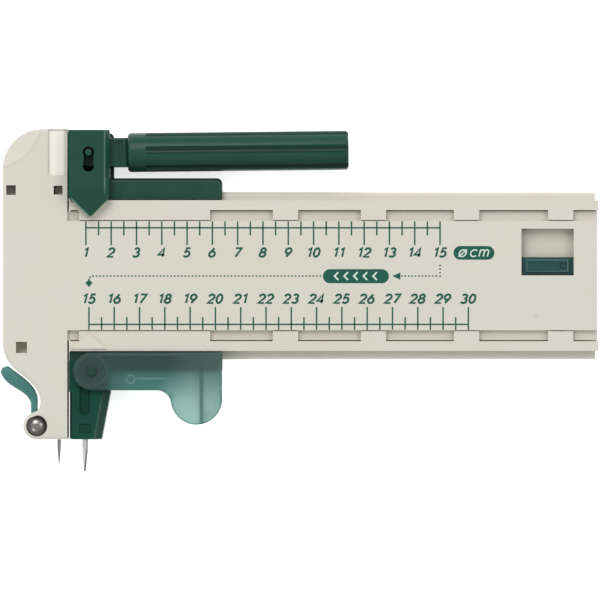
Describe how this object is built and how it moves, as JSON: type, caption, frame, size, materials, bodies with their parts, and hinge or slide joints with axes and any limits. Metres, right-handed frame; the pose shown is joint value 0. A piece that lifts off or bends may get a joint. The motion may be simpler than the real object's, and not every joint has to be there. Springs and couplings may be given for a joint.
{
  "type": "compass circle cutter",
  "caption": "Slide-type compass cutter with a centre needle, a sliding blade carriage on a telescoping scale, a folding grip and a swinging blade guard.",
  "frame": {"origin": "on the rest face of the rear cover, on the centre line of the scale tongue and in line with the centre needle", "axes": "+X along the slides towards the open end of the tongue, +Y across them towards the grip, +Z out of the scale face"},
  "size_m": [0.1183, 0.0679, 0.0113],
  "materials": {
    "ivory_plastic": "moulded ivory plastic, fine satin grain",
    "green_plastic": "moulded dark green plastic, soft gloss",
    "teal_plastic": "see-through teal plastic, polished",
    "steel": "ground steel",
    "chrome": "polished chrome",
    "brass": "turned brass",
    "rubber": "black rubber"
  },
  "bodies": {
    "case": {"front_cover": "ivory_plastic", "rear_cover": "ivory_plastic", "centre_needle": "steel", "needle_clamp": "brass", "needle_cover_pin": "chrome", "lock_spring": "steel"},
    "needle_cover": {"needle_cover": "teal_plastic"},
    "lock": {"lock_button": "teal_plastic", "brake_pad": "rubber"},
    "middle_slide": {"middle_slide": "ivory_plastic", "slide_spring": "steel"},
    "carriage": {"carriage_base": "green_plastic", "carriage_spring": "steel", "head_cover": "green_plastic", "foot_cover": "green_plastic", "blade_holder": "brass", "blade": "steel", "guard_pin": "green_plastic"},
    "blade_guard": {"blade_guard": "teal_plastic"},
    "handle_pin": {"handle_pin": "green_plastic"},
    "handle": {"handle_neck": "green_plastic", "handle_spindle": "steel", "spindle_washer": "steel"},
    "grip": {"grip_barrel": "green_plastic", "grip_cap": "green_plastic"}
  },
  "joints": [
    {"name": "slide_out", "type": "slide", "parent": "case", "child": "middle_slide", "axis": [1, 0, 0], "range_m": [0, 0.075]},
    {"name": "carriage_out", "type": "slide", "parent": "middle_slide", "child": "carriage", "axis": [1, 0, 0], "range_m": [0, 0.07]},
    {"name": "guard_swing", "type": "hinge", "parent": "carriage", "child": "blade_guard", "pos_m": [0.00658, -0.01891, 0.0088], "axis": [0, 0, -1], "range_deg": [0, 90]},
    {"name": "needle_cover_swing", "type": "hinge", "parent": "case", "child": "needle_cover", "pos_m": [-0.00427, -0.0297, 0.005], "axis": [0, 0, 1], "range_deg": [0, 183]},
    {"name": "lock_push", "type": "slide", "parent": "case", "child": "lock", "axis": [0, 1, 0], "range_m": [0, 0.005]},
    {"name": "handle_pin_snap", "type": "slide", "parent": "carriage", "child": "handle_pin", "axis": [0, -1, 0], "range_m": [0, 0.0027]},
    {"name": "handle_fold", "type": "hinge", "parent": "handle_pin", "child": "handle", "pos_m": [0.00605, 0.02433, 0.0053], "axis": [0, 0, 1], "range_deg": [0, 89.4]},
    {"name": "grip_spin", "type": "hinge", "parent": "handle", "child": "grip", "pos_m": [0.00605, 0.02433, 0.0053], "axis": [0.9999, 0.0105, 0], "continuous": true}
  ],
  "couplings": [
    {"joint": "handle_pin_snap", "follows": "handle_fold", "m_per_rad": 0.0017303}
  ]
}
